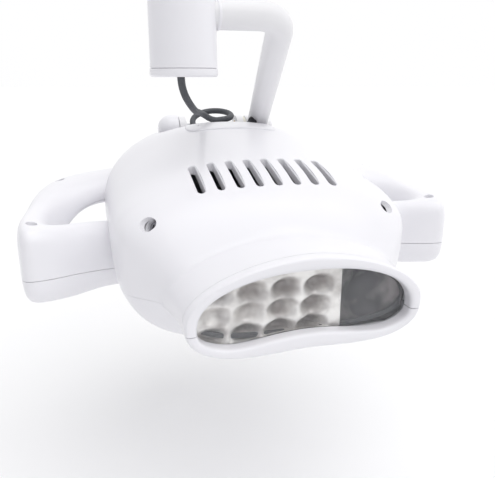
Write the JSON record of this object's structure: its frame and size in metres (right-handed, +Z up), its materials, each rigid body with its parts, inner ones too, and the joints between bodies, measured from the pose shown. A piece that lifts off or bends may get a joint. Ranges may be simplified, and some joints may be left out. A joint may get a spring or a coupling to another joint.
{
  "type": "surgical light",
  "caption": "Surgical light head with two side grab handles and a kidney-shaped lens window, hung by a bent tube neck from a swivel housing with a pin for an arm.",
  "frame": {"origin": "centre of the shoulder of the arm pin, where the end of the arm rests", "axes": "+Z up along the pin and the swivel axis, +X to the light's right as seen from in front of its window, +Y from the window towards the back of the head"},
  "size_m": [0.3582, 0.288, 0.3204],
  "materials": {
    "white": "satin white moulding",
    "painted": "white powder coat",
    "steel": "turned",
    "spring_steel": "zinc plated",
    "bronze": "sintered bronze",
    "brass": "turned",
    "bearing": "acetal",
    "alloy": "bead blasted",
    "rubber": "matt",
    "cable": "matt sleeve",
    "clear": "clear moulding",
    "dark_clear": "dark red filter",
    "mirror": "vacuum metallised",
    "circuit": "white solder mask",
    "emitter": "phosphor",
    "component": "moulded"
  },
  "bodies": {
    "mount": {"arm_spigot": "steel", "spigot_clip": "spring_steel", "thrust_washer": "bearing"},
    "housing": {"housing_shell": "white", "housing_base": "white", "base_screws": "spring_steel", "base_grommet": "rubber", "swivel_block": "alloy", "neck_bush": "bronze", "spigot_bush": "bronze"},
    "neck": {"neck_tube": "painted", "neck_clip": "spring_steel", "neck_collar": "white", "neck_hub": "painted", "tilt_axle": "steel", "friction_washer": "bearing", "disc_springs": "spring_steel", "tension_nut": "steel", "end_cap": "white", "hub_plug": "white", "power_cable": "cable", "neck_grommet": "rubber"},
    "head": {"upper_shell": "white", "lower_shell": "white", "hinge_cover": "white", "front_bezel": "white", "lens_cover": "clear", "lens_gasket": "rubber", "reflector_array": "mirror", "led_board": "circuit", "led_emitters": "emitter", "heat_sink": "alloy", "chassis_plate": "alloy", "chassis_screws": "spring_steel", "driver_board": "circuit", "board_spacers": "brass", "driver_components": "component", "sensor_window": "dark_clear", "sensor_board": "circuit", "handle_right_upper": "white", "handle_left_upper": "white", "handle_right_lower": "white", "handle_left_lower": "white", "handle_screws": "spring_steel", "body_screws": "spring_steel", "hinge_bracket": "painted", "hinge_bush_left": "bronze", "hinge_bush_right": "bronze"}
  },
  "joints": [
    {"name": "housing_swivel", "type": "hinge", "parent": "mount", "child": "housing", "pos_m": [0, 0, -0.02], "axis": [0, 0, 1], "range_deg": [-170, 170]},
    {"name": "neck_roll", "type": "hinge", "parent": "housing", "child": "neck", "pos_m": [0, 0, -0.0558], "axis": [1, 0, 0], "range_deg": [-30, 45], "deforming": ["power_cable"]},
    {"name": "head_tilt", "type": "hinge", "parent": "neck", "child": "head", "pos_m": [0, 0.132, -0.1478], "axis": [1, 0, 0], "range_deg": [-2, 60]}
  ]
}
